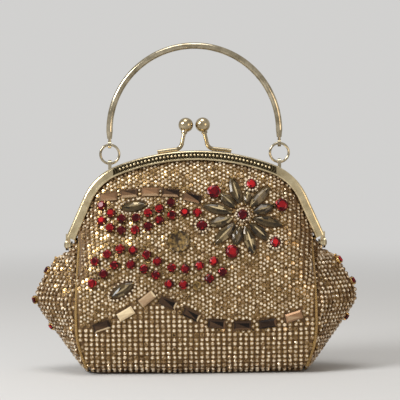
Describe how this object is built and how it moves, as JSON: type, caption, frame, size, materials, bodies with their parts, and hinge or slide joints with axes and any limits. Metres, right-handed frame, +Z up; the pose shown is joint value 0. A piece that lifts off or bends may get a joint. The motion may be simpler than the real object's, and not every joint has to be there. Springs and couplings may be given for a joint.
{
  "type": "evening bag",
  "caption": "Crystal-covered evening bag with a hinged kiss-lock frame, ball clasp, folding side gussets and an arched handle that swings on two rings.",
  "frame": {"origin": "centre of the flat base, on the surface that the bag stands on", "axes": "+X across the bag to the viewer's right, -Y the front with the stone motif, +Z up through the handle"},
  "size_m": [0.1819, 0.0576, 0.1813],
  "materials": {
    "crystal_mesh": "cloth set all over with small clear crystals",
    "lining_satin": "dull satin",
    "stiffener": "cloth-covered board",
    "gold_cord": "gold thread",
    "gilt_metal": "aged pale gilt, polished",
    "gilt_settings": "gilt",
    "red_glass": "cut and foiled",
    "smoky_glass": "cut and foiled"
  },
  "bodies": {
    "bag": {"front_panel": "crystal_mesh", "back_panel": "crystal_mesh", "gusset_left": "crystal_mesh", "gusset_right": "crystal_mesh", "base_panel": "crystal_mesh", "lining_front": "lining_satin", "lining_back": "lining_satin", "lining_gusset_left": "lining_satin", "lining_gusset_right": "lining_satin", "base_board": "stiffener", "piping_front_left": "gold_cord", "piping_front_right": "gold_cord", "piping_back_left": "gold_cord", "piping_back_right": "gold_cord", "frame_back": "gilt_metal", "hinge_pin_left": "gilt_metal", "hinge_pin_right": "gilt_metal", "clasp_arm_back": "gilt_metal", "clasp_ball_back": "gilt_metal", "ring_lug_left": "gilt_metal", "ring_lug_right": "gilt_metal", "ruby_settings": "gilt_settings", "big_ruby_settings": "gilt_settings", "halo_settings": "gilt_settings", "empty_settings": "gilt_settings", "gusset_settings": "gilt_settings", "ruby_stones": "red_glass", "big_ruby_stones": "red_glass", "halo_stones": "red_glass", "gusset_stones": "red_glass", "flower_petals": "smoky_glass", "bar_stones": "smoky_glass", "leaf_stones": "smoky_glass"},
    "front_frame": {"frame_front": "gilt_metal", "clasp_arm_front": "gilt_metal", "clasp_ball_front": "gilt_metal"},
    "ring_left": {"ring_left": "gilt_metal"},
    "ring_right": {"ring_right": "gilt_metal"},
    "handle": {"handle_tube": "gilt_metal", "handle_eye_left": "gilt_metal", "handle_eye_right": "gilt_metal"}
  },
  "joints": [
    {"name": "frame_hinge", "type": "hinge", "parent": "bag", "child": "front_frame", "pos_m": [0, 0, 0.07], "axis": [1, 0, 0], "range_deg": [0, 45], "deforming": ["front_panel", "gusset_left", "gusset_right", "piping_front_left", "piping_front_right"]},
    {"name": "ring_left_swing", "type": "hinge", "parent": "bag", "child": "ring_left", "pos_m": [-0.047, 0.0034, 0.11475], "axis": [-1, 0, 0], "range_deg": [-70, 70]},
    {"name": "ring_right_swing", "type": "hinge", "parent": "bag", "child": "ring_right", "pos_m": [0.047, 0.0034, 0.11475], "axis": [-1, 0, 0], "range_deg": [-70, 70]},
    {"name": "handle_swing", "type": "hinge", "parent": "ring_left", "child": "handle", "pos_m": [-0.047, 0.0034, 0.12515], "axis": [-1, 0, 0], "range_deg": [-70, 70]}
  ],
  "couplings": [
    {"joint": "ring_right_swing", "follows": "ring_left_swing", "ratio": 1}
  ]
}
